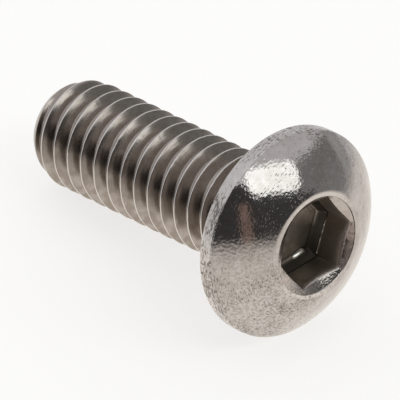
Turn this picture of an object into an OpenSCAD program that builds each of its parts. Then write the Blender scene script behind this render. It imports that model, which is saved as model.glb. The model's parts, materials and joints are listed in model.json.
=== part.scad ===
// Button head screw with a hexagon socket, M3 x 8, right-hand thread.
// One piece: an upset head with a pressed socket, on a shank that is threaded up to the neck.
// It lies as it comes to rest on a table, on the rim of its head and on one crest near its tip.
// The screw is drawn along +Z with its bearing face at z = 0, and then laid down.

/* [Thread] */
// Length under the head
length = 8; // [5:0.5:20]
// Outside diameter, over the crests
thread_d = 2.88; // [2.6:0.02:3.4]
// Distance from one crest to the next
pitch = 0.5; // [0.4:0.05:0.7]
// Width of the flat along each crest
crest_w = 0.07; // [0.04:0.01:0.12]
// Width of the flat along the bottom of the groove
root_w = 0.12; // [0.06:0.01:0.16]
// Angle between the two flanks of the groove, in degrees
flank_angle = 60; // [50:1:70]
// Where along the pitch a crest crosses the underside, in degrees of turn
thread_turn = 279; // [0:1:360]

/* [Tip] */
// Diameter of the flat end
tip_d = 2.2; // [1.8:0.05:2.2]
// Length over which the first turns grow to full height
tip_l = 0.85; // [0.4:0.05:1.5]

/* [Head] */
// Diameter of the head
head_d = 5.55; // [5:0.05:7]
// Height of the head above its bearing face
head_h = 1.4; // [1.3:0.05:2]
// Height of the straight rim under the crown
rim_h = 0.43; // [0.25:0.01:0.6]
// Diameter of the flat on top of the crown
flat_d = 2.92; // [2.8:0.02:3.4]
// Rounding of the rim's edge on the bearing side
rim_round = 0.12; // [0.05:0.01:0.2]

/* [Neck] */
// Length of the plain neck under the head
neck_l = 0.3; // [0.25:0.05:0.8]
// How far the fillet under the head reaches past the crests
fillet_reach = 0.04; // [0.02:0.01:0.2]

/* [Socket] */
// Width across the flats of the hexagon, for a 2 mm key
socket_af = 2.06; // [1.9:0.01:2.2]
// Depth of the socket from the top of the head
socket_depth = 1.1; // [0.95:0.05:1.2]
// Height and width of the slope between the walls and the floor of the socket
socket_slope = 0.2; // [0.1:0.01:0.3]
// Diameter of the countersink round the mouth
mouth_d = 2.64; // [2.58:0.01:2.75]
// Included angle of the countersink, in degrees
mouth_angle = 120; // [90:5:130]
// Turn of the hexagon on the lying screw, in degrees
socket_turn = 30; // [0:1:60]

/* [Hidden] */
$fn = 96;
steel = [0.66, 0.64, 0.61];

// Straight pieces in one turn of the thread
turn_n = 36;
// How much thinner the end of the shank is than the neck that it enters
neck_step = 0.02;

crest_r = thread_d / 2;
flank_w = (pitch - crest_w - root_w) / 2;
root_r = crest_r - flank_w / tan(flank_angle / 2);
tip_r = tip_d / 2;
head_r = head_d / 2;
flat_r = flat_d / 2;

// A rolled thread leaves the blank half-way between crest and root, and the neck is that blank
neck_r = (crest_r + root_r) / 2;
neck_fillet = crest_r + fillet_reach - neck_r;

// The crown is a part of a ball: its centre height and radius follow from the rim and the flat
crown_z = (flat_r^2 + head_h^2 - head_r^2 - rim_h^2) / (2 * (head_h - rim_h));
crown_r = norm([flat_r, head_h - crown_z]);

socket_r = socket_af / 2 / cos(30);
floor_r = socket_r - socket_slope / cos(30);
socket_floor = head_h - socket_depth;
mouth_h = mouth_d / 2 / tan(mouth_angle / 2);

// Axial places of the four edges of one turn, root edges first, and of the next turn's first edge
edge_h = [0, root_w, root_w + flank_w, root_w + flank_w + crest_w, pitch];
edge_r = [root_r, root_r, crest_r, crest_r];

// The shank stops inside the neck, and the thread fades out over the last turn before it
shank_top = -neck_l / 2;
fade_end = -neck_l;
fade_start = fade_end - pitch;
fade_r = neck_r - neck_step;

// The helix starts more than one turn below the tip, in step with thread_turn
helix_start = -length - pitch - root_w - pitch * thread_turn / 360;
helix_turns = ceil((shank_top - helix_start - edge_h[2]) / pitch) + 1;
helix_n = turn_n * helix_turns;

// Height of edge q at step k of the helix. Edge -1 is the last edge of the turn below
function edge_z(k, q) =
    helix_start + pitch * k / turn_n + (q < 0 ? edge_h[3] - pitch : edge_h[q]);

// Largest radius that the tapered tip leaves at height z
function tip_limit(z) =
    let (x = min(1, max(0, (z + length) / tip_l)))
    crest_r - (crest_r - tip_r) * (1 - x)^2;

// Radius of the thread at height z, where the full thread has radius r
function thread_r(r, z) =
    let (fade = min(1, max(0, (fade_end - z) / (fade_end - fade_start))))
    min(tip_limit(z), fade_r + (r - fade_r) * fade);

// A point at step k of the helix
function around(k, r, z) = [r * cos(360 * k / turn_n), r * sin(360 * k / turn_n), z];

// A point on a flat end face, further in and further round the more the helix has run past that face
function on_end(k, r, z, past) = around(k + past / pitch, r / (1.2 + past / pitch), z);

// One vertex of the shank: on the thread, on the rim of an end face or inside that face
function shank_point(k, q) =
    let (z = edge_z(k, q), below = edge_z(k, q - 1), above = edge_z(k, q + 1))
    above <= -length ? on_end(k, tip_r, -length, -length - above)
    : z <= -length ? around(k, tip_r, -length)
    : below >= shank_top ? on_end(k, fade_r, shank_top, below - shank_top)
    : z >= shank_top ? around(k, fade_r, shank_top)
    : around(k, thread_r(edge_r[q], z), z);

// Number of the vertex on edge q at step k; edge 4 is the first edge of the next turn
function vertex(k, q) = q < 4 ? 4 * k + q : 4 * (k + turn_n);

// Tilt at which the rim and a crest vertex at radius r and height z both touch the table
function lean(r, z) =
    let (along = rim_round - z, across = head_r - rim_round - r)
    atan2(across, along) + asin(rim_round / norm([along, across]));

// The crests that cross the underside are those at whole turns of the helix
tilt = min([
    for (turn = [0 : helix_turns], q = [2, 3])
        let (z = edge_z(turn * turn_n, q))
        if (z > -length && z < fade_start) lean(thread_r(crest_r, z), z)
]);
lift = (head_r - rim_round) * cos(tilt) - rim_round * sin(tilt) + rim_round;
reach_front = head_h * cos(tilt) + flat_r * sin(tilt);
reach_back = length * cos(tilt) + tip_r * sin(tilt);

// Lays the screw along X, head end raised, with the table at z = 0 and its length centred
module laid_down() {
    translate([(reach_back - reach_front) / 2, 0, lift])
        rotate([0, 90 - tilt, 0])
            children();
}

// Half section of the ring between a square corner and its rounding of radius r
module corner(r) {
    difference() {
        square(r);
        translate([r, r]) circle(r);
    }
}

// Rim, crown and flat top, with the rounded edge on the bearing side
module head_blank() {
    rotate_extrude() {
        difference() {
            intersection() {
                square([head_r, head_h]);
                translate([0, crown_z]) circle(crown_r);
            }
            translate([head_r, 0]) mirror([1, 0]) corner(rim_round);
        }
    }
}

// Plain neck, with its fillet up to the bearing face
module neck() {
    translate([0, 0, -neck_l]) cylinder(r = neck_r, h = neck_l + rim_h / 2);
    rotate_extrude() {
        translate([neck_r, 0]) mirror([0, 1]) corner(neck_fillet);
    }
}

// Hexagon hole with a sloping edge round its floor, opened by a countersink
module socket() {
    translate([0, 0, socket_floor]) rotate(socket_turn) {
        cylinder(r1 = floor_r, r2 = socket_r, h = socket_slope, $fn = 6);
        translate([0, 0, socket_slope]) cylinder(r = socket_r, h = socket_depth, $fn = 6);
    }
    translate([0, 0, head_h - mouth_h]) cylinder(r1 = 0, r2 = mouth_d, h = 2 * mouth_h);
}

// Threaded shank: four helical edges joined by strips, closed by a flat face at each end
module shank() {
    strips = [
        for (k = [0 : helix_n - 1], q = [0 : 3])
            if (q < 3 || k < helix_n - turn_n)
                each [
                    [vertex(k, q), vertex(k, q + 1), vertex(k + 1, q)],
                    [vertex(k + 1, q), vertex(k, q + 1), vertex(k + 1, q + 1)]
                ]
    ];
    tip_face = [
        for (k = [0 : turn_n]) vertex(k, 0),
        for (q = [3 : -1 : 1]) vertex(0, q)
    ];
    top_face = [
        for (k = [helix_n : -1 : helix_n - turn_n]) vertex(k, 3),
        for (q = [0 : 2]) vertex(helix_n, q)
    ];
    polyhedron(
        points = [for (k = [0 : helix_n], q = [0 : 3]) shank_point(k, q)],
        faces = concat(strips, [tip_face, top_face])
    );
}

module screw() {
    color(steel) laid_down() {
        difference() {
            union() {
                head_blank();
                neck();
            }
            socket();
        }
        shank();
    }
}

screw();
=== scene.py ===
"""A stainless button head screw with a hexagon socket, lying on a pale table in a small photo studio.

The screw is modelled upright, with its bearing face at height 0 and its head above, and then laid down
where the frame holds it. Angles round it start at its underside. Sizes are in metres.
"""

import json
from collections import namedtuple
from math import atan2, cos, degrees, hypot, pi, radians, sin, sqrt, tan

import bmesh
import bpy
from bpy.props import FloatProperty, FloatVectorProperty, PointerProperty
from mathutils import Matrix, Vector, noise


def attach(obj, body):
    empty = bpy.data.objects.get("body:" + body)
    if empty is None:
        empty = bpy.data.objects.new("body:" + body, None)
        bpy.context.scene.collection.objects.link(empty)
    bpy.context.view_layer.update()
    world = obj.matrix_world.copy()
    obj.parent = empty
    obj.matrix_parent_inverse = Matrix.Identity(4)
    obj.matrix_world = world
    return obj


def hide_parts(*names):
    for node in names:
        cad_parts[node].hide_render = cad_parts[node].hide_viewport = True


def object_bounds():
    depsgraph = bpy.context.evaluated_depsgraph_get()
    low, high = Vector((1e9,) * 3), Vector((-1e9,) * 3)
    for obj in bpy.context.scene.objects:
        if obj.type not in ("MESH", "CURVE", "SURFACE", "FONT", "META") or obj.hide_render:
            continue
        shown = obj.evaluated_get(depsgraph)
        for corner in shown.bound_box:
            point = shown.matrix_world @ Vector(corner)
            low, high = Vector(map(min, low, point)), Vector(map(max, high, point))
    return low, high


bl_info = {
    "name": "Button Head Screw",
    "version": (1, 0, 0),
    "blender": (4, 5, 0),
    "location": "3D View > Sidebar > Screw",
    "description": "A hexagon socket button head screw with a rolled thread, and a small studio round it",
    "category": "Add Mesh",
}

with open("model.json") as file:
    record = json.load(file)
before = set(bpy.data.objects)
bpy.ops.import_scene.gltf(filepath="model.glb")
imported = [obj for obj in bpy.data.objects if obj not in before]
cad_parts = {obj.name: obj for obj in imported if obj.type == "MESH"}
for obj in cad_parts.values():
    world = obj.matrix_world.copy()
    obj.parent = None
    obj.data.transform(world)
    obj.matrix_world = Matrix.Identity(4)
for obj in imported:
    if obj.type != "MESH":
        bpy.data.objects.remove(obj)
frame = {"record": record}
CAD_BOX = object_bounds()

MM = 0.001
MOUNTS = {mount["name"]: Vector(mount["pos_m"]) for mount in frame["record"]["mounts"]}
TIP = MOUNTS["thread"]
TOP = MOUNTS["hex_socket"]
AXIS = (TOP - TIP).normalized()
LENGTH = (MOUNTS["bearing_face"] - TIP).dot(AXIS)
UNDER_HEAD = TIP + LENGTH * AXIS
HEAD_HEIGHT = (TOP - TIP).length - LENGTH
HEAD_DIAMETER = CAD_BOX[1][1] - CAD_BOX[0][1]

# Finishes of the steel, in the order of the mesh's material slots
BRIGHT, MATTE, PRESSED, COUNTERSUNK, TORN, ROLLED = range(6)

# Edges sharper than this are not shaded smooth
SHARP_EDGE = radians(40)

# Sides of the screw: the coarsest, the other one with many pits, and where the step in the mouth is deepest
COARSE_SIDE, PITTED_SIDE, DEEP_SIDE = radians(-50), radians(145), radians(140)

# A part of the turn where something is strongest in the middle, and gone where spread is passed, in degrees
Patch = namedtuple("Patch", "strength middle spread")

# Patches counted from the underside of the screw
# The flat ring round the mouth is brighter on two opposite sides
BRIGHTER_RING_SIDES = (Patch(0.75, 165, 75), Patch(0.6, -25, 60))
# The crown's edge is coarser on one side
KNOCKED_EDGE = Patch(0.7, 236, 14)
# Painted shade on one side of the thread's grooves, below the crests
SHADED_THREAD_SIDE = Patch(0.3, 257, 24)

# Patches counted from the first corner of the hexagon
# Painted light in the socket: one side of the floor painted lighter, and painted highlights along the edge
# of the floor, along the foot of the slope and as a glint spot on the slope
LIT_FLOOR_SIDE = Patch(0.2, 130, 80)
LIT_FLOOR_EDGE = (Patch(2.0, 78, 40), Patch(0.25, -60, 60))
LIT_SLOPE_FOOT = (Patch(1.15, 74, 40), Patch(0.8, -45, 25))
GLINT_SPOT = Patch(3.0, -20, 14)
# Painted shade that darkens two sides of the slope and one corner of the walls, deep in the socket
SHADED_SLOPE_SIDES = (Patch(0.2, -30, 70), Patch(0.2, 125, 50))
SHADED_WALL_CORNER = Patch(1.0, 112, 42)
# One side of the countersink is darker
DARKER_COUNTERSINK_SIDE = Patch(0.2, -30, 32)
# The countersink is flatter on one side
FLAT_COUNTERSINK = Patch(0.2, -90, 42)

# Dark scale and painted shade on the socket's floor and slope outside the patches, and painted shade on
# its darkened wall corner at the foot and top
FLOOR_SCALE_AND_SHADE, SLOPE_SCALE_AND_SHADE, WALL_FOOT_SHADE, WALL_TOP_SHADE = -0.66, -0.8, -0.55, -0.3

# Place and half width, as shares of the slope's width, of the painted highlight line at its foot and of the
# painted glint spot
SLOPE_LINE, SLOPE_SPOT = (0.04, 0.22), (0.13, 0.2)

# Mesh round the screw: degrees from each corner of the hexagon, closer together at the corner
CORNER_STEPS = (0.0, 0.6, 1.3, 2.2, *range(4, 30, 2))

# Mesh across the faces of the socket, the tip and the thread, as shares of their width
FLOOR_PARTS = (0.2, 0.4, 0.6, 0.75, 0.88)
WALL_PARTS = (0.0, 0.15, 0.3, 0.45, 0.6, 0.75, 0.87, 1.0)
COUNTERSINK_PARTS = (0.0, 0.1, 0.17, 0.24, 0.31, 0.38, 0.48, 0.6, 0.8, 0.94, 1.0)
TIP_PARTS = (0.96, 0.7, 0.4)
FLANK_PARTS = (0.3, 0.65)

# Shares of the slope's width and height, with a fillet at its foot
SLOPE_POINTS = (
    (-0.12, 0.0), (-0.04, 0.012), (0.04, 0.045), (0.12, 0.105), (0.22, 0.2),
    (0.35, 0.34), (0.5, 0.5), (0.65, 0.66), (0.8, 0.81), (0.92, 0.93),
)

# Bulge at the foot of the slope: degrees from the first corner of the hexagon to its middle, degrees that
# it reaches before and after that, and its share of the slope's width
BULGE_MIDDLE, BULGE_BEFORE, BULGE_AFTER, BULGE_REACH = -10, 20, 9, 0.7

# Rings of the burr: height as a share of the slope's height, and how far the burr stands in and up
BURR_POINTS = ((1.0, 0.03 * MM, 0.004 * MM), (1.05, 0.016 * MM, 0.004 * MM), (1.1, 0.004 * MM, 0.0))

# Where the burr starts, as a share of the side of the hexagon
BURR_START = 0.05

# Where the walls begin above the burr, as a share of the slope's height
WALL_FOOT = 1.2

# Share of the rounded upper edge of the hexagon that lies on the walls, and of their height that it takes
WALL_EDGE, WALL_ROUNDED = 0.6, 0.25

# Least depth of the step round the mouth, as a share, and the bevel of its edge
LEAST_STEP, STEP_BEVEL = 0.15, 0.1

# How much the countersink is curved
COUNTERSINK_CURVE = 0.16

# Groove torn into the countersink: its depth, then its place, wander and half width as shares of the
# countersink's width, and where the torn steel ends as a share of the side of the hexagon
TORN_DEPTH, TORN_PLACE, TORN_WANDER, TORN_HALF_WIDTH, TORN_END = 0.08 * MM, 0.3, 0.1, 0.13, 1.02

# Small gaps in the mesh at the edge of the mouth and at the edge of the flat ring
MOUTH_GAP, MOUTH_EDGE, FLAT_EDGE = 0.004 * MM, 0.006 * MM, 0.02 * MM

# Rings of the rim, below its upper edge, that the knocks in that edge reach
KNOCKED_RINGS = 3

# Rings of the plain neck, as shares of its length
NECK_PARTS = (0.8, 1.0)

# Share of the thread's height that is rubbed at the crests
RUBBED_CREST = 0.05

# Knocks in the crests: depth as a share of the thread's height, the noise at which they start, and how
# much more of it makes them full
KNOCK_DEPTH, KNOCK_START, KNOCK_RISE = 0.035, 0.4, 0.2

# Fineness of the turned lines and of the pits: two numbers round the screw and one along it
LINE_GRAIN, PIT_GRAIN = (6, 6, 24), (23, 23, 28)

# Clouds per millimetre of the large and the small mottling
MOTTLE_GRAIN, BLOTCH_GRAIN = 1.3, 6.0

# Limits between which lines, wear with painted light, stains with painted shade, valleys and mottling go
# from none to full
LINE_LIMITS, WEAR_AND_LIGHT_LIMITS, STAIN_LIMITS = (0.5, 0.75), (0.6, 1.1), (0.7, 1.4)
VALLEY_LIMITS, MOTTLE_LIMITS = (0.6, 0.3), (0.3, 0.7)

# Painted light on the heights of the coarse ripples and painted shade in their valleys, and how ragged they
# make worn edges
RIPPLE_HEIGHT_LIGHT, RIPPLE_VALLEY_SHADE, RAGGED_EDGE = -0.3, 0.85, 0.7

# What a finish's roughness is multiplied by: from least to most mottling, and where it is worn and where it
# is painted bright
LEAST_ROUGH, MOST_ROUGH, WEAR_AND_LIGHT_ROUGH = 0.8, 1.2, 0.4

# How much the pits follow the mottling, the coarse side, the other pitted side, and the worn and brightly
# painted edges
MOTTLE_PITS, COARSE_PITS, SIDE_PITS, WEAR_AND_LIGHT_PITS = 0.55, 0.15, 0.065, -0.2

# How squarely the other pitted side has to be faced before pits crowd there, as a cosine
SIDE_START = 0.3

# Where pits begin in their noise: the limit for none, how much lower it is for many, and their soft edge
PIT_LIMIT, PIT_FALL, PIT_EDGE = 1.35, 0.855, 0.06

WHITE, GREENISH = (1, 1, 1), (0.98, 1, 0.98)

# A card of light or shade round the table. Directions, sizes and roll are in degrees, as seen from the
# screw, and cut is the share that is cut off its corners
Card = namedtuple("Card", "azimuth elevation width height roll cut distance colour strength")
CARDS = {
    "soft_box": Card(104.5, 45.7, 43.5, 21.5, -30, 0.45, 0.20, (0.94, 0.985, 0.965), 1.75),
    "dark_side": Card(46, 10, 52, 90, 0, 0, 0.26, WHITE, 0.05),
    "far_side": Card(-4, 6, 48, 70, 0, 0, 0.27, WHITE, 0.06),
    "warm_strip": Card(63, 21, 8, 34, 0, 0, 0.25, (1, 0.72, 0.62), 0.25),
    "dim_side": Card(101, 0, 64, 84, 0, 0, 0.28, WHITE, 0.06),
    "grey_side": Card(143.4, 0.7, 37, 27, -30.4, 0, 0.265, GREENISH, 0.265),
    "pale_side": Card(172.1, -2.4, 15, 32, -34.6, 0, 0.275, (1, 1, 0.99), 0.41),
    "grey_slope": Card(147, 19, 50, 22, -32, 0, 0.27, GREENISH, 0.235),
}

# The nearest and farthest that the camera sees
CAMERA_CLIP = (0.01, 10)

# The table lies just below the screw, and part of its light is a glow that keeps its shadows soft
TABLE_GAP, TABLE_SHADED, TABLE_GLOW, TABLE_ROUGHNESS = 0.002 * MM, 0.5, 0.8, 0.9

# Corners of the table and of the bright sheet
SQUARE = ((-1, -1), (1, -1), (1, 1), (-1, 1))

# Place of the bright sheet, and the azimuth and elevation that it faces
SHEET_PLACE, SHEET_FACING = (3.6 * MM, 1.2 * MM, -0.35 * MM), (radians(227), radians(78))


def nowhere(angle):
    """Nothing at any angle."""
    return 0.0


# One ring of the mesh: place gives (radius, height) at an angle, and finish is that of the faces before it.
# The third field gives wear and painted light at an angle: from -1, the dark scale colour, which also
# paints shade, to 1, the rubbed colour, which also paints highlights.
# shift moves the whole ring sideways, and knocked gives how much coarser the steel is at an angle
Ring = namedtuple("Ring", "place finish worn shift knocked", defaults=(nowhere, Vector(), nowhere))


def a_length(name, description, default, lowest=0.0):
    """A length that the user can change."""
    return FloatProperty(
        name=name, description=description, default=default, min=lowest, unit="LENGTH", precision=6
    )


def a_colour(name, description, default):
    """A colour that the user can change."""
    return FloatVectorProperty(
        name=name, description=description, default=default, subtype="COLOR", min=0.0, max=1.0
    )


def a_share(name, description, default):
    """A number from 0 to 1 that the user can change."""
    return FloatProperty(
        name=name, description=description, default=default, subtype="FACTOR", min=0.0, max=1.0
    )


def an_angle(name, description, default):
    """An angle that the user can change; its default is in degrees."""
    return FloatProperty(name=name, description=description, default=radians(default), subtype="ANGLE")


class ThreadSizes(bpy.types.PropertyGroup):
    """Sizes of the rolled thread and of the neck between it and the head."""

    length: a_length("Length", "Length under the head", LENGTH)
    diameter: a_length("Diameter", "Outside diameter, over the crests", 2.88 * MM)
    pitch: a_length("Pitch", "Distance from one crest to the next", 0.5 * MM)
    crest: a_length("Crest", "Width of the flat along each crest", 0.036 * MM)
    root: a_length("Root", "Width of the flat along the bottom of the groove", 0.154 * MM)
    rounding: a_length("Rounding", "Half width over which crests and roots are rounded", 0.008 * MM)
    tip_diameter: a_length("Tip Diameter", "Diameter of the flat end", 2.2 * MM)
    tip_length: a_length("Tip Length", "Length over which the first turns grow to full height", 0.85 * MM)
    neck: a_length("Neck", "Length of the plain neck under the head", 0.3 * MM)
    fillet_reach: a_length("Fillet Reach", "How far the fillet reaches past the crests", 0.04 * MM)
    flank_angle: an_angle("Flank Angle", "Angle between the two flanks of the groove", 60)
    turn: an_angle("Turn", "Where along the pitch a crest crosses the underside", 279)


class HeadSizes(bpy.types.PropertyGroup):
    """Sizes of the domed head."""

    diameter: a_length("Diameter", "Diameter of the head", HEAD_DIAMETER)
    height: a_length("Height", "Height of the head above its bearing face", HEAD_HEIGHT)
    rim: a_length("Rim", "Height of the straight rim under the crown", 0.43 * MM)
    flat: a_length("Flat", "Diameter of the flat on top of the crown", 2.92 * MM)
    bearing_edge: a_length("Bearing Edge", "Rounding of the rim on the bearing side", 0.12 * MM)
    crown_edge: a_length("Crown Edge", "Rounding between the rim and the crown", 0.08 * MM)


class SocketSizes(bpy.types.PropertyGroup):
    """Sizes of the hexagon socket."""

    flats: a_length("Across Flats", "Width of the hexagon across its flats", 2.06 * MM)
    depth: a_length("Depth", "Depth of the socket from the top of the head", 1.1 * MM)
    slope: a_length("Slope", "Height and width of the slope between walls and floor", 0.2 * MM)
    mouth: a_length("Mouth", "Diameter of the countersink round the mouth", 2.64 * MM)
    corner: a_length("Corner", "Rounding of the upright corners of the hexagon", 0.06 * MM)
    edge: a_length("Edge", "Rounding of the upper edge of the hexagon", 0.05 * MM)
    offset: a_length("Offset", "How far off the axis the hexagon was punched", 0.04 * MM)
    floor_offset: a_length("Floor Offset", "How far the floor is off the middle of the hexagon", 0.07 * MM)
    bulge: a_length("Bulge", "How far the slope's foot bulges over the floor beside one corner", 0.07 * MM)
    step: a_length("Step", "Depth of the small step at the edge of the mouth", 0.06 * MM)
    mouth_angle: an_angle("Mouth Angle", "Included angle of the countersink", 120)
    turn: an_angle("Turn", "Angle of the first corner of the hexagon from the underside", 30)
    offset_angle: an_angle("Offset Angle", "Direction of the offset, from the underside", 120)


class SteelFinish(bpy.types.PropertyGroup):
    """Colours and surface of the steel."""

    bright: a_colour("Bright Steel", "Polished crown of the head", (0.61, 0.575, 0.565))
    # Besides rubbed edges and crests, this colour paints the highlights in the socket and the bright burr,
    # and brightens two sides of the flat ring
    rubbed_and_lit: a_colour("Rubbed Steel", "Edges and crests that are rubbed bright", (0.73, 0.695, 0.675))
    countersunk: a_colour("Countersink", "Cut face round the mouth of the socket", (0.57, 0.52, 0.50))
    torn: a_colour("Torn Steel", "Side of the countersink that the punch has torn", (0.44, 0.37, 0.35))
    rolled: a_colour("Rolled Steel", "Thread and underside of the head", (0.458, 0.411, 0.382))
    pressed: a_colour("Pressed Steel", "Walls of the socket, darkened by the punch", (0.53, 0.475, 0.42))
    # Besides real scale, this dark colour paints shade in the socket and on one side of the thread, and
    # darkens the torn groove and one side of the countersink
    scale: a_colour("Scale", "Dark scale in the bottom of the socket", (0.03, 0.026, 0.021))
    rim: a_colour("Rim", "Turned rim of the head", (0.78, 0.75, 0.74))
    pit: a_colour("Pit", "Bottom of the small pits", (0.24, 0.22, 0.205))
    # This colour also paints shade in the valleys of the ripple
    stain_and_shade: a_colour("Stain", "What a stain leaves of the steel's colour", (0.76, 0.73, 0.70))
    crown_roughness: a_share("Crown Roughness", "Roughness of the polished crown", 0.09)
    rim_roughness: a_share("Rim Roughness", "Roughness of the rim", 0.28)
    socket_roughness: a_share("Socket Roughness", "Roughness inside the socket", 0.48)
    cut_roughness: a_share("Cut Roughness", "Roughness of the countersink", 0.2)
    torn_roughness: a_share("Torn Roughness", "Roughness of the torn side of the countersink", 0.36)
    thread_roughness: a_share("Thread Roughness", "Roughness of the rolled thread", 0.215)
    pit_roughness: a_share("Pit Roughness", "Roughness of the small pits", 0.16)
    ripple: a_length("Ripple", "Height of the fine ripple of the steel", 0.003 * MM)
    pit_depth: a_length("Pit Depth", "Depth of the small pits", 0.002 * MM)


class StudioSetup(bpy.types.PropertyGroup):
    """Table, light and camera."""

    table: a_colour("Table", "Colour of the table", (0.90, 0.895, 0.885))
    surround: a_colour("Surround", "Light of the tent round the table", (0.64, 0.64, 0.65))
    sheet: a_colour("Sheet", "Light of the sheet under the screw", (0.94, 0.902, 0.838))
    fade: a_length("Fade", "Distance over which the sheet's light falls by half", 24 * MM)
    azimuth: an_angle("Azimuth", "Direction of the camera, from -Y towards +X", 46.51)
    elevation: an_angle("Elevation", "Height of the camera above the horizon", 40.28)
    distance: a_length("Distance", "Distance of the camera from the head", 400 * MM)
    view_width: a_length("View Width", "Width of the picture at the head", 10.0621 * MM)
    aim_right: a_length(
        "Aim Right", "Middle of the picture, sideways from the head", -1.9904 * MM, lowest=-1.0
    )
    aim_up: a_length("Aim Up", "Middle of the picture, upwards from the head", 0.6963 * MM, lowest=-1.0)


def upright_to_lying():
    """Matrix that lays the upright screw down where the frame holds it."""
    across = Vector((0, 1, 0))
    matrix = Matrix((across.cross(AXIS), across, AXIS)).transposed().to_4x4()
    matrix.translation = UNDER_HEAD
    return matrix


def direction(azimuth, elevation):
    """Unit vector towards a place round the table; azimuth 0 is -Y and a quarter turn is +X."""
    return Vector((cos(elevation) * sin(azimuth), -cos(elevation) * cos(azimuth), sin(elevation)))


def facing(towards):
    """Matrix that turns a flat thing so that its upper side faces a direction."""
    return towards.to_track_quat("Z", "Y").to_matrix().to_4x4()


def sideways(distance, angle):
    """Vector across the screw's axis, in the direction of an angle."""
    return Vector((distance * cos(angle), distance * sin(angle), 0))


def clamped(value):
    """A number kept between 0 and 1."""
    return min(1.0, max(0.0, value))


def patched(angle, *patches):
    """Sum of what patches give at an angle."""
    total = 0.0
    for patch in patches:
        off = (degrees(angle) - patch.middle + 180) % 360 - 180
        total += patch.strength * max(0.0, 1 - (off / patch.spread) ** 2)
    return total


def hump(place, middle, half_width):
    """Share that falls from 1 at the middle to 0 where half_width is passed."""
    return max(0.0, 1 - abs(place - middle) / half_width)


def arc(centre, radius, start, end, steps):
    """Points (radius, height) of a rounded edge in the screw's half section."""
    angles = [start + (end - start) * k / steps for k in range(steps + 1)]
    return [(centre[0] + radius * cos(angle), centre[1] + radius * sin(angle)) for angle in angles]


def line(start, end, steps):
    """Points between two points of the half section, without the end points."""
    return [
        (start[0] + (end[0] - start[0]) * k / steps, start[1] + (end[1] - start[1]) * k / steps)
        for k in range(1, steps)
    ]


def turn_angles(socket):
    """Angles of the mesh round the screw, closer together at the corners of the hexagon."""
    sector = sorted({sign * step for step in CORNER_STEPS for sign in (-1, 1)}) + [30]
    return [socket.turn + radians(60 * k + step) for k in range(6) for step in sector]


def hexagon(angle, half_flats, socket):
    """Radius of a hexagon with rounded corners, half_flats from its middle to each side."""
    past_corner = abs((angle - socket.turn + pi / 6) % (pi / 3) - pi / 6)
    rounding = min(socket.corner, 0.5 * half_flats)
    corner = (half_flats - rounding) / cos(pi / 6)
    if past_corner < atan2(0.5 * rounding, corner + rounding * cos(pi / 6)):
        return corner * cos(past_corner) + sqrt(rounding**2 - (corner * sin(past_corner)) ** 2)
    return half_flats / cos(pi / 6 - past_corner)


def along_first_side(angle, socket):
    """Place along the first side of the hexagon, from 0 at its first corner to 1 at the next."""
    return (angle - socket.turn) / (pi / 3)


def torn_edge(angle, across, socket):
    """Share of the groove along the one side of the hexagon where the punch has torn the countersink."""
    side = along_first_side(angle, socket)
    if not 0 < side < 1:
        return 0.0
    ragged = noise.noise(Vector((9 * side, 0, 0.5))) + 0.5 * noise.noise(Vector((23 * side, 3, 0.5)))
    strength = sin(pi * side) ** 0.5 * (0.7 + ragged)
    return max(0.0, strength) * hump(across, TORN_PLACE + TORN_WANDER * ragged, TORN_HALF_WIDTH)


def burr(angle, socket):
    """Share of the small burr that the punch has left at the foot of one wall."""
    side = along_first_side(angle, socket)
    if not BURR_START < side < 1:
        return 0.0
    return max(0.0, 0.8 + 0.9 * noise.noise(Vector((8 * side, 7, 0.3)))) * (1 - side**6)


def foot_bulge(angle, socket):
    """Share of the bulge that the punch has left beside one corner of the floor, steep towards it."""
    past = degrees(angle - socket.turn)
    return hump(past, BULGE_MIDDLE, BULGE_BEFORE if past < BULGE_MIDDLE else BULGE_AFTER)


def floor_scale_and_painted_light(part, socket):
    """Scale and painted light of the socket's floor at a share of its radius: lighter towards one corner,
    bright along its edge.
    """

    def worn(angle):
        past = angle - socket.turn
        edge = part**3 * patched(past, *LIT_FLOOR_EDGE)
        return FLOOR_SCALE_AND_SHADE + part * patched(past, LIT_FLOOR_SIDE) + edge

    return worn


def slope_scale_and_painted_light(across, socket):
    """Painted light on the slope round the floor: a glint spot and a faint highlight line at its foot, and
    scale and painted shade above.
    """
    foot, spot = hump(across, *SLOPE_LINE), hump(across, *SLOPE_SPOT)

    def worn(angle):
        past = angle - socket.turn
        rubbed_and_lit = foot * patched(past, *LIT_SLOPE_FOOT) + spot * patched(past, GLINT_SPOT)
        return SLOPE_SCALE_AND_SHADE + rubbed_and_lit - patched(past, *SHADED_SLOPE_SIDES)

    return worn


def wall_painted_shade(part, socket):
    """Painted shade on the socket's walls from foot to top: one corner is painted dark, as shade in the
    hollow.
    """
    tone_shift = WALL_FOOT_SHADE + (WALL_TOP_SHADE - WALL_FOOT_SHADE) * part
    return lambda angle: tone_shift * patched(angle - socket.turn, SHADED_WALL_CORNER)


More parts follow.
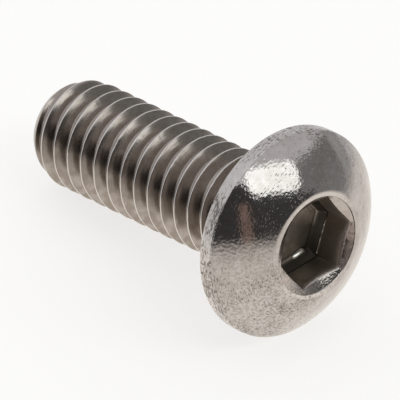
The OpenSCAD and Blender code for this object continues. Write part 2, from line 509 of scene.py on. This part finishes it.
def socket_rings(head, socket):
    """Rings from the floor of the socket to the edge of its mouth."""
    wall = socket.flats / 2
    floor = head.height - socket.depth
    mouth = socket.mouth / 2
    drop = (mouth - wall) / tan(socket.mouth_angle / 2)
    offset = sideways(socket.offset, socket.offset_angle)
    floor_offset = offset + sideways(socket.floor_offset, socket.turn + 2 * pi / 3)

    def step_height(angle):
        deep = LEAST_STEP + (1 - LEAST_STEP) * max(0.0, cos(angle - DEEP_SIDE))
        return head.height - socket.step * deep

    def countersink_height(angle, radius):
        down = (mouth - radius) / (mouth - wall)
        curved = down * (1 + COUNTERSINK_CURVE * (down - 0.5))
        return step_height(angle) - drop * (1 - patched(angle - socket.turn, FLAT_COUNTERSINK)) * curved

    def floor_ring(part):
        half_flats = (wall - socket.slope) * part
        return Ring(
            lambda angle: (hexagon(angle, half_flats, socket), floor),
            PRESSED,
            floor_scale_and_painted_light(part, socket),
            floor_offset,
        )

    def slope_ring(across, up):
        half_flats = wall - socket.slope * (1 - across)
        height = floor + socket.slope * up
        bulge = socket.bulge * clamped(1 - across / BULGE_REACH)
        return Ring(
            lambda angle: (hexagon(angle, half_flats, socket) - bulge * foot_bulge(angle, socket), height),
            PRESSED,
            slope_scale_and_painted_light(across, socket),
            floor_offset.lerp(offset, max(0.0, across)),
        )

    def burr_ring(up, inset, rise):
        def place(angle):
            left = burr(angle, socket)
            return hexagon(angle, wall, socket) - inset * left, floor + up * socket.slope + rise * left

        # Where the burr stands the steel is painted bright, a painted highlight along it, and elsewhere this
        # corner is painted dark as shade
        return Ring(place, PRESSED, lambda angle: 2 * burr(angle, socket) - 1, offset)

    def wall_ring(part):
        foot = floor + WALL_FOOT * socket.slope
        edge = WALL_EDGE * socket.edge
        widened = edge * clamped(1 - (1 - part) / WALL_ROUNDED) ** 2

        def place(angle):
            radius = hexagon(angle, wall, socket)
            top = countersink_height(angle, radius + socket.edge) - edge
            return radius + widened, foot + (top - foot) * part

        return Ring(place, PRESSED, wall_painted_shade(part, socket), offset)

    def countersink_ring(part):
        def place(angle):
            inner = hexagon(angle, wall, socket) + socket.edge
            radius = inner + (mouth - MOUTH_GAP - inner) * part
            return radius, countersink_height(angle, radius) - TORN_DEPTH * torn_edge(angle, part, socket)

        def worn(angle):
            return -torn_edge(angle, part, socket) - patched(angle - socket.turn, DARKER_COUNTERSINK_SIDE)

        return Ring(place, COUNTERSUNK, worn, (1 - part) * offset)

    return [
        *(floor_ring(part) for part in FLOOR_PARTS),
        *(slope_ring(across, up) for across, up in SLOPE_POINTS),
        *(burr_ring(up, inset, rise) for up, inset, rise in BURR_POINTS),
        *(wall_ring(part) for part in WALL_PARTS),
        *(countersink_ring(part) for part in COUNTERSINK_PARTS),
        Ring(lambda angle: (mouth, step_height(angle) + STEP_BEVEL * socket.step), COUNTERSUNK),
    ]


def crown_ball(head):
    """Height of the middle and radius of the ball that the crown is part of."""
    flat, rim = head.flat / 2, head.diameter / 2
    middle = (flat**2 + head.height**2 - rim**2 - head.rim**2) / (2 * (head.height - head.rim))
    return middle, hypot(flat, head.height - middle)


def ring_brightening(angle):
    """How much brighter the flat ring round the mouth is at an angle: brightest on two opposite sides."""
    return patched(angle, *BRIGHTER_RING_SIDES)


def edge_knocks(angle):
    """How much coarser the edge of the crown is on the side where it was knocked."""
    return patched(angle, KNOCKED_EDGE)


def round_rings(points, finish, **settings):
    """Rings that have the same (radius, height) at every angle."""
    return [Ring(lambda angle, point=point: point, finish, **settings) for point in points]


def head_rings(head, socket, thread):
    """Rings from the edge of the mouth over the crown, the rim and the bearing face to the neck."""
    rim, flat, mouth = head.diameter / 2, head.flat / 2, socket.mouth / 2
    middle, ball = crown_ball(head)
    edge, under = head.crown_edge, head.bearing_edge
    edge_height = middle + sqrt((ball - edge) ** 2 - (rim - edge) ** 2)
    edge_angle = atan2(edge_height - middle, rim - edge)
    flat_angle = atan2(head.height - middle, flat) - FLAT_EDGE / ball
    neck = neck_radius(thread)
    fillet = thread.diameter / 2 + thread.fillet_reach - neck
    ring_start, ring_end = (mouth + MOUTH_EDGE, head.height), (flat - FLAT_EDGE, head.height)

    flat_ring = [(mouth, head.height - STEP_BEVEL * socket.step), ring_start]
    flat_ring += line(ring_start, ring_end, steps=6)
    crown = [ring_end] + arc((0, middle), ball, flat_angle, edge_angle, steps=36)
    crown_edge = arc((rim - edge, edge_height), edge, edge_angle, 0, steps=5)[1:]
    rim_wall = line((rim, edge_height), (rim, under), steps=6)
    knocked = crown_edge + rim_wall[:KNOCKED_RINGS]
    plain = rim_wall[KNOCKED_RINGS:] + arc((rim - under, under), under, 0, -pi / 2, steps=8)
    bearing = line((rim - under, 0), (neck + fillet, 0), steps=8)
    bearing += arc((neck + fillet, -fillet), fillet, pi / 2, pi, steps=8)
    bearing += [(neck, -part * thread.neck) for part in NECK_PARTS]
    return [
        *round_rings(flat_ring, BRIGHT, worn=ring_brightening),
        *round_rings(crown, BRIGHT),
        *round_rings(knocked, MATTE, knocked=edge_knocks),
        *round_rings(plain, MATTE),
        *round_rings(bearing, ROLLED),
    ]


def flank_width(thread):
    """Width of one flank of the groove, along the axis."""
    return (thread.pitch - thread.crest - thread.root) / 2


def root_radius(thread):
    """Radius at the bottom of the groove."""
    return thread.diameter / 2 - flank_width(thread) / tan(thread.flank_angle / 2)


def neck_radius(thread):
    """Radius of the plain neck: a rolled thread leaves the blank half-way between crest and root."""
    return (thread.diameter / 2 + root_radius(thread)) / 2


def crest_share(offset, thread):
    """Height of the thread from root 0 to crest 1, at a distance along the axis from a crest's middle."""
    bend, flank = thread.rounding, flank_width(thread)

    def rounded(x):
        return 0.0 if x <= -bend else x if x >= bend else (x + bend) ** 2 / (4 * bend)

    past = abs(offset) - thread.crest / 2
    return 1 - (rounded(past) - rounded(past - flank)) / flank


def thread_radius(part, height, thread):
    """Radius of the thread, which tapers at the tip and fades out into the neck."""
    crest, root, tip = thread.diameter / 2, root_radius(thread), thread.tip_diameter / 2
    neck = neck_radius(thread)
    full = root + (crest - root) * part
    fade = clamped((-thread.neck - height) / thread.pitch)
    grown = clamped((height + thread.length) / thread.tip_length)
    return min(neck + (full - neck) * fade, crest - (crest - tip) * (1 - grown) ** 2)


def thread_strands(thread):
    """Places of the mesh's strands along one pitch, closer together along the edges of crest and root."""
    half, top, bend = thread.pitch / 2, thread.crest / 2, thread.rounding
    foot = half - thread.root / 2
    flank = [top + bend + (foot - top - 2 * bend) * part for part in FLANK_PARTS]
    side = [top - bend, top, top + bend, *flank, foot - bend, foot, foot + bend]
    return [-half, *(-place for place in reversed(side)), 0.0, *side]


def crest_nick(turn, angle):
    """Share of a crest's height that is left where a crest has small knocks."""
    knock = noise.noise(Vector((9 * cos(angle), 9 * sin(angle), 2.7 * turn)))
    return 1 - KNOCK_DEPTH * clamped((knock - KNOCK_START) / KNOCK_RISE)


def thread_wear_and_shade(part, angle):
    """Wear and painted shade of the thread from root 0 to crest 1: crests are rubbed, and one side gets
    painted shade below them.
    """
    rubbed_and_lit = clamped(1 - (1 - part) / RUBBED_CREST)
    return rubbed_and_lit - (1 - rubbed_and_lit) * patched(angle, SHADED_THREAD_SIDE)


def coarse_share(angle):
    """How coarse the steel is at an angle: the side of the head that lay in the die is the coarsest."""
    return max(0.0, cos(angle - COARSE_SIDE)) ** 2


class ScrewMesh:
    """A mesh made of rings and strands round the screw's axis, with a finish for each face."""

    def __init__(self, socket):
        self.bm = bmesh.new()
        self.socket = socket
        self.angles = turn_angles(socket)
        self.worn = self.bm.verts.layers.float.new("worn")
        self.coarse = self.bm.verts.layers.float.new("coarse")
        self.turned = self.bm.verts.layers.float_vector.new("turned")

    def vertex(self, radius, angle, height, worn=0.0):
        """A new vertex with its wear and painted light, its coarseness and its place for lines round the
        axis.
        """
        made = self.bm.verts.new((radius * cos(angle), radius * sin(angle), height))
        made[self.worn] = worn
        made[self.coarse] = coarse_share(angle)
        made[self.turned] = (cos(angle), sin(angle), (radius - height) / MM)
        return made

    def face(self, corners, finish):
        """A new face with its finish."""
        self.bm.faces.new(corners).material_index = finish

    def ring(self, ring):
        """The vertices of one ring."""
        made = []
        for angle in self.angles:
            radius, height = ring.place(angle)
            made.append(self.vertex(radius, angle, height, ring.worn(angle)))
            made[-1].co += ring.shift
            made[-1][self.coarse] += ring.knocked(angle)
        return made

    def join(self, inner, outer, finish):
        """Faces between two rings; one side of the countersink is torn, with the corner at its end."""
        for k, angle in enumerate(self.angles):
            torn = finish == COUNTERSUNK and 0 < along_first_side(angle, self.socket) < TORN_END
            self.face((inner[k - 1], outer[k - 1], outer[k], inner[k]), TORN if torn else finish)

    def cap(self, ring, finish):
        """Faces that close a ring."""
        middle = self.vertex(0, 0, ring[0].co.z, ring[0][self.worn])
        middle.co = sum((vertex.co for vertex in ring), Vector()) / len(ring)
        middle[self.turned] = (0, 0, -middle.co.z / MM)
        for k in range(len(ring)):
            self.face((middle, ring[k - 1], ring[k]), finish)

    def add_rings(self, last, rings):
        """Rings with their faces, after the ring last; returns the vertices of the final one."""
        for ring in rings:
            following = self.ring(ring)
            self.join(last, following, ring.finish)
            last = following
        return last

    def add_thread(self, top, thread):
        """Helical strips of faces between the ring top, under the neck, and a new ring round the tip."""
        angles, strands = self.angles, thread_strands(thread)
        count, rows = len(angles), len(strands)
        first_crest = flank_width(thread) + thread.crest / 2 - thread.length
        first_crest -= thread.pitch * (1 + thread.turn / (2 * pi))
        tip = self.ring(Ring(lambda angle: (thread.tip_diameter / 2, -thread.length), ROLLED))
        made = {}

        def vertex(row, k):
            if k == count:
                row, k = row + rows, 0
            turn, strand = divmod(row, rows)
            height = first_crest + thread.pitch * (turn - 1 + angles[k] / (2 * pi)) + strands[strand]
            if height <= -thread.length:
                return tip[k]
            if height >= -thread.neck:
                return top[k]
            if (row, k) not in made:
                part = crest_share(strands[strand], thread)
                radius = thread_radius(part * crest_nick(turn, angles[k]), height, thread)
                made[row, k] = self.vertex(radius, angles[k], height, thread_wear_and_shade(part, angles[k]))
            return made[row, k]

        for row in range((int(thread.length / thread.pitch) + 4) * rows):
            for k in range(count):
                corners = (vertex(row, k), vertex(row, k + 1), vertex(row + 1, k + 1), vertex(row + 1, k))
                corners = [corner for i, corner in enumerate(corners) if corner is not corners[i - 1]]
                if len(corners) > 2:
                    self.face(corners, ROLLED)
        return tip

    def finish(self, name):
        """The finished mesh."""
        bmesh.ops.recalc_face_normals(self.bm, faces=self.bm.faces)
        mesh = bpy.data.meshes.new(name)
        self.bm.to_mesh(mesh)
        self.bm.free()
        return mesh


def build_screw_mesh(thread, head, socket):
    """One closed mesh of the upright screw, from the socket's floor over the head and thread to the tip."""
    screw = ScrewMesh(socket)
    rings = socket_rings(head, socket) + head_rings(head, socket, thread)
    floor = screw.ring(rings[0])
    screw.cap(floor, PRESSED)
    neck = screw.add_rings(floor, rings[1:])
    tip = screw.add_thread(neck, thread)
    end_points = [(part * thread.tip_diameter / 2, -thread.length) for part in TIP_PARTS]
    screw.cap(screw.add_rings(tip, round_rings(end_points, ROLLED)), ROLLED)
    return screw.finish("screw_visual")


class Shading:
    """The nodes of a new material. Inputs are numbers, or links from the outputs of other nodes."""

    def __init__(self, name):
        self.material = bpy.data.materials.new(name)
        self.material.use_nodes = True
        self.tree = self.material.node_tree

    def fill(self, node, values):
        """Set or link a node's inputs, by name or number."""
        for name, value in values.items():
            if isinstance(value, bpy.types.NodeSocket):
                self.tree.links.new(value, node.inputs[name])
            else:
                node.inputs[name].default_value = value

    def add(self, kind, values, output=0, **settings):
        """Add a node, and return one of its outputs."""
        node = self.tree.nodes.new(kind)
        for name, value in settings.items():
            setattr(node, name, value)
        self.fill(node, values)
        return node.outputs[output]

    def attribute(self, name, output):
        """What the vertices of the mesh hold under a name."""
        return self.add("ShaderNodeAttribute", {}, output, attribute_name=name)

    def noise(self, place, scale, detail):
        """Random clouds, most of them round 0.5."""
        return self.add("ShaderNodeTexNoise", {"Vector": place, "Scale": scale, "Detail": detail}, "Fac")

    def calculate(self, operation, *numbers):
        """Calculate with numbers."""
        return self.add("ShaderNodeMath", dict(enumerate(numbers)), operation=operation)

    def combine(self, operation, first, second, output):
        """Calculate with two vectors."""
        return self.add("ShaderNodeVectorMath", {0: first, 1: second}, output, operation=operation)

    def remap(self, value, start, end, low=0.0, high=1.0):
        """Number from low to high while value goes from start to end."""
        limits = {"From Min": start, "From Max": end, "To Min": low, "To Max": high}
        return self.add("ShaderNodeMapRange", {"Value": value, **limits}, "Result")

    def blend(self, share, first, second):
        """Colour between a first one and a second one: the node has its colours in 6 and 7, and out of 2."""
        return self.add("ShaderNodeMix", {"Factor": share, 6: first, 7: (*second, 1)}, 2, data_type="RGBA")

    def mix(self, share, first, second):
        """Number between a first one and a second one: the node has its numbers in 2 and 3."""
        return self.add("ShaderNodeMix", {"Factor": share, 2: first, 3: second}, data_type="FLOAT")

    def bump(self, height, distance, normal=None, invert=False):
        """Normal of a surface with bumps, on top of another normal."""
        values = {"Height": height, "Distance": distance, "Strength": 1.0}
        if normal is not None:
            values["Normal"] = normal
        return self.add("ShaderNodeBump", values, "Normal", invert=invert)

    def set_shader(self, values):
        """Set or link the inputs of the material's own shader."""
        self.fill(self.tree.nodes["Principled BSDF"], values)

    def set_surface(self, surface):
        """Link what the material shows."""
        self.fill(self.tree.nodes["Material Output"], {"Surface": surface})


# One finish of the steel. ripple is a share of the usual height of the ripple, and grain the number of
# ripples per millimetre. pits says how thickly it is pitted, and 0 leaves no pits. swell is the growth of
# the ripple where the steel is coarse, and marks the strength of the lines round the axis
Surface = namedtuple("Surface", "name colour roughness ripple grain pits swell marks", defaults=(0.0, 0.0))


def steel_material(surface, finish):
    """Stainless steel with a mottled tone, a fine ripple, small pits, brighter worn edges, and painted light
    and shade.
    """
    steel = Shading(surface.name)
    place, turned = steel.attribute("upright", "Vector"), steel.attribute("turned", "Vector")
    tone_shift, coarse = steel.attribute("worn", "Fac"), steel.attribute("coarse", "Fac")
    mottle = steel.noise(place, scale=MOTTLE_GRAIN, detail=3.0)
    blotch = steel.noise(place, scale=BLOTCH_GRAIN, detail=2.0)
    waves = steel.noise(place, scale=surface.grain, detail=0.5)
    combed = steel.combine("MULTIPLY", turned, LINE_GRAIN, "Vector")
    lines = steel.remap(steel.noise(combed, scale=1.0, detail=2.0), *LINE_LIMITS, high=surface.marks)
    worn = steel.remap(steel.calculate("MULTIPLY_ADD", waves, RAGGED_EDGE, tone_shift), *WEAR_AND_LIGHT_LIMITS)

    # Pits crowd together in mottled zones, on two sides of the screw, and neither where it is worn nor where
    # it is painted bright
    drawn = steel.combine("MULTIPLY", turned, PIT_GRAIN, "Vector")
    specks = steel.noise(drawn, scale=1.0, detail=1.0)
    zones = steel.calculate("MULTIPLY_ADD", mottle, MOTTLE_PITS, specks)
    towards = steel.combine("DOT_PRODUCT", turned, sideways(1.0, PITTED_SIDE), "Value")
    zones = steel.calculate("ADD", zones, steel.remap(towards, SIDE_START, 1.0, high=SIDE_PITS))
    crowded = steel.calculate("MULTIPLY_ADD", coarse, COARSE_PITS, zones)
    cleaned = steel.calculate("MULTIPLY_ADD", worn, WEAR_AND_LIGHT_PITS, crowded)
    limit = PIT_LIMIT - PIT_FALL * surface.pits
    pitted = steel.remap(cleaned, limit, limit + PIT_EDGE)

    # Stains lie in clouds and along the lines, and the coarse ripples get painted shade in their valleys and
    # painted light on their heights
    clouds = steel.calculate("ADD", mottle, blotch)
    valleys = steel.remap(waves, *VALLEY_LIMITS, low=RIPPLE_HEIGHT_LIGHT, high=RIPPLE_VALLEY_SHADE)
    clouds = steel.calculate("MULTIPLY_ADD", valleys, coarse, clouds)
    stained_and_shaded = steel.remap(steel.calculate("ADD", clouds, lines), *STAIN_LIMITS)
    stain_and_shade = [channel * left for channel, left in zip(surface.colour, finish.stain_and_shade)]
    tone = steel.blend(stained_and_shaded, (*surface.colour, 1), stain_and_shade)
    # Below zero the tone goes towards the scale colour: real scale and the torn groove, and painted shade in
    # the socket and on one side of the thread
    tone = steel.blend(steel.remap(tone_shift, 0.0, -1.0), tone, finish.scale)
    # Above zero the tone goes towards the rubbed colour: real wear, and painted highlights in the socket
    tone = steel.blend(worn, tone, finish.rubbed_and_lit)
    tone = steel.blend(pitted, tone, finish.pit)

    least, most, smoothed = (share * surface.roughness for share in (LEAST_ROUGH, MOST_ROUGH, WEAR_AND_LIGHT_ROUGH))
    rough = steel.remap(mottle, *MOTTLE_LIMITS, low=least, high=most)
    rough = steel.mix(worn, rough, smoothed)
    rough = steel.mix(pitted, rough, finish.pit_roughness)
    swollen = steel.calculate("MULTIPLY_ADD", coarse, surface.swell, 1.0)
    height = steel.calculate("MULTIPLY_ADD", waves, swollen, lines)
    rippled = steel.bump(height, surface.ripple * finish.ripple)
    holed = steel.bump(pitted, finish.pit_depth, normal=rippled, invert=True)
    steel.set_shader({"Base Color": tone, "Metallic": 1.0, "Roughness": rough, "Normal": holed})
    return steel.material


def steel_materials(finish):
    """The finishes of the screw, in the order of the mesh's material slots."""
    surfaces = (
        Surface("bright_crown", finish.bright, finish.crown_roughness, 0.9, 14.0, 0.42, 3.8, 0.22),
        Surface("matte_rim", finish.rim, finish.rim_roughness, 1.5, 14.0, 0.52, 2.6, 0.4),
        Surface("pressed_socket", finish.pressed, finish.socket_roughness, 0.7, 4.0, 0.0),
        Surface("cut_countersink", finish.countersunk, finish.cut_roughness, 2.2, 20.0, 0.34),
        Surface("torn_countersink", finish.torn, finish.torn_roughness, 2.5, 12.0, 0.46),
        Surface("rolled_thread", finish.rolled, finish.thread_roughness, 0.25, 4.0, 0.0, marks=0.5),
    )
    return [steel_material(surface, finish) for surface in surfaces]


def add_object(scene, name, data):
    """A new object in the scene."""
    made = bpy.data.objects.new(name, data)
    scene.collection.objects.link(made)
    return made


def flat_mesh(name, corners, material):
    """A mesh of one flat face at height 0."""
    mesh = bpy.data.meshes.new(name)
    mesh.from_pydata([(*corner, 0) for corner in corners], [], [range(len(corners))])
    mesh.materials.append(material)
    return mesh


class SCREW_OT_add_screw(bpy.types.Operator):
    """Build the screw and lay it down on the table"""

    bl_idname = "screw.add_screw"
    bl_label = "Add Screw"

    def execute(self, context):
        scene = context.scene
        thread, head, socket = scene.screw_thread, scene.screw_head, scene.screw_socket
        if socket.flats / 2 / cos(pi / 6) + socket.edge + socket.offset > socket.mouth / 2:
            raise RuntimeError("The corners of the hexagon reach past the mouth of the socket")
        mesh = build_screw_mesh(thread, head, socket)
        upright = mesh.attributes.new("upright", "FLOAT_VECTOR", "POINT")
        for vertex in mesh.vertices:
            upright.data[vertex.index].vector = vertex.co / MM
        mesh.transform(upright_to_lying())
        mesh.shade_smooth()
        mesh.set_sharp_from_angle(angle=SHARP_EDGE)
        for material in steel_materials(scene.screw_finish):
            mesh.materials.append(material)
        screw = add_object(scene, "button_head_screw", mesh)
        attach(screw, "root")
        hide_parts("screw")
        return {"FINISHED"}


def glow_shading(name, colour, strength):
    """Nodes of a material that only glows, and the output of its glow."""
    shading = Shading(name)
    shading.tree.nodes.remove(shading.tree.nodes["Principled BSDF"])
    glow = shading.add("ShaderNodeEmission", {"Color": (*colour, 1), "Strength": strength})
    shading.set_surface(glow)
    return shading, glow


def add_card(scene, name, setup):
    """A flat card that faces the screw and that only its reflections and the light show."""
    x, y = (setup.distance * tan(radians(angle) / 2) for angle in (setup.width, setup.height))
    short = setup.cut * min(x, y)
    corners = [(x, y - short), (x - short, y), (short - x, y), (-x, y - short),
               (-x, short - y), (short - x, -y), (x - short, -y), (x, short - y)]
    shading, _ = glow_shading(name, setup.colour, setup.strength)
    card = add_object(scene, name, flat_mesh(name, list(dict.fromkeys(corners)), shading.material))
    towards = direction(radians(setup.azimuth), radians(setup.elevation))
    card.matrix_world = (
        Matrix.Translation(towards * setup.distance)
        @ facing(towards)
        @ Matrix.Rotation(radians(setup.roll), 4, "Z")
    )
    card.visible_camera = False


class SCREW_OT_add_stage(bpy.types.Operator):
    """Set up the table, the light and the camera"""

    bl_idname = "screw.add_stage"
    bl_label = "Add Stage"

    def execute(self, context):
        scene = context.scene
        studio = scene.screw_studio
        self.add_table(scene, studio)
        self.add_light(scene, studio)
        self.add_camera(scene, studio)
        return {"FINISHED"}

    def add_table(self, scene, studio):
        shading = Shading("pale_table")
        shading.set_shader({
            "Base Color": (*(TABLE_SHADED * channel for channel in studio.table), 1),
            "Roughness": TABLE_ROUGHNESS,
            "Specular IOR Level": 0.0,
            "Emission Color": (*studio.table, 1),
            "Emission Strength": TABLE_GLOW,
        })
        table = add_object(scene, "table", flat_mesh("table", SQUARE, shading.material))
        table.location.z = -TABLE_GAP
        table.visible_glossy = False

    def add_light(self, scene, studio):
        world = bpy.data.worlds.new("light_tent")
        world.use_nodes = True
        world.node_tree.nodes["Background"].inputs["Color"].default_value = (*studio.surround, 1)
        scene.world = world
        for name, setup in CARDS.items():
            add_card(scene, name, setup)
        self.add_sheet(scene, studio)

    def add_sheet(self, scene, studio):
        """A bright sheet that only reflections show, raised towards the camera and fading outwards."""
        shading, glow = glow_shading("bright_sheet", studio.sheet, 1.0)
        place = shading.add("ShaderNodeTexCoord", {}, "Object")
        away = shading.combine("DOT_PRODUCT", place, place, "Value")
        spread = shading.calculate("MULTIPLY_ADD", away, studio.fade**-2, 1.0)
        left = shading.calculate("DIVIDE", 1.0, spread)
        clear = shading.add("ShaderNodeBsdfTransparent", {})
        shading.set_surface(shading.add("ShaderNodeMixShader", {0: left, 1: clear, 2: glow}))
        sheet = add_object(scene, "bright_sheet", flat_mesh("bright_sheet", SQUARE, shading.material))
        sheet.matrix_world = Matrix.Translation(SHEET_PLACE) @ facing(direction(*SHEET_FACING))
        sheet.visible_camera = sheet.visible_diffuse = sheet.visible_shadow = False

    def add_camera(self, scene, studio):
        camera = add_object(scene, "camera", bpy.data.cameras.new("camera"))
        towards = direction(studio.azimuth, studio.elevation)
        right = Vector((cos(studio.azimuth), sin(studio.azimuth), 0))
        aim = UNDER_HEAD + studio.aim_right * right + studio.aim_up * towards.cross(right)
        camera.location = aim + studio.distance * towards
        camera.rotation_mode = "QUATERNION"
        camera.rotation_quaternion = towards.to_track_quat("Z", "Y")
        camera.data.lens = camera.data.sensor_width * studio.distance / studio.view_width
        camera.data.clip_start, camera.data.clip_end = CAMERA_CLIP
        scene.camera = camera
        scene.view_settings.view_transform = "Standard"


class VIEW3D_PT_screw(bpy.types.Panel):
    """The screw, its finish and its stage"""

    bl_idname = "VIEW3D_PT_screw"
    bl_label = "Button Head Screw"
    bl_space_type = "VIEW_3D"
    bl_region_type = "UI"
    bl_category = "Screw"

    def draw(self, context):
        scene = context.scene
        for title, group in (
            ("Thread", scene.screw_thread),
            ("Head", scene.screw_head),
            ("Socket", scene.screw_socket),
            ("Finish", scene.screw_finish),
        ):
            self.draw_group(title, group)
        self.layout.operator(SCREW_OT_add_screw.bl_idname)
        self.draw_group("Studio", scene.screw_studio)
        self.layout.operator(SCREW_OT_add_stage.bl_idname)

    def draw_group(self, title, group):
        box = self.layout.box()
        box.label(text=title)
        for name in group.__annotations__:
            box.prop(group, name)


GROUPS = {
    "screw_thread": ThreadSizes,
    "screw_head": HeadSizes,
    "screw_socket": SocketSizes,
    "screw_finish": SteelFinish,
    "screw_studio": StudioSetup,
}
CLASSES = (*GROUPS.values(), SCREW_OT_add_screw, SCREW_OT_add_stage, VIEW3D_PT_screw)


def register():
    for cls in CLASSES:
        bpy.utils.register_class(cls)
    for name, group in GROUPS.items():
        setattr(bpy.types.Scene, name, PointerProperty(type=group))


def unregister():
    for name in GROUPS:
        delattr(bpy.types.Scene, name)
    for cls in reversed(CLASSES):
        bpy.utils.unregister_class(cls)


def main():
    register()
    bpy.ops.screw.add_stage()
    bpy.ops.screw.add_screw()


if __name__ == "__main__":
    main()
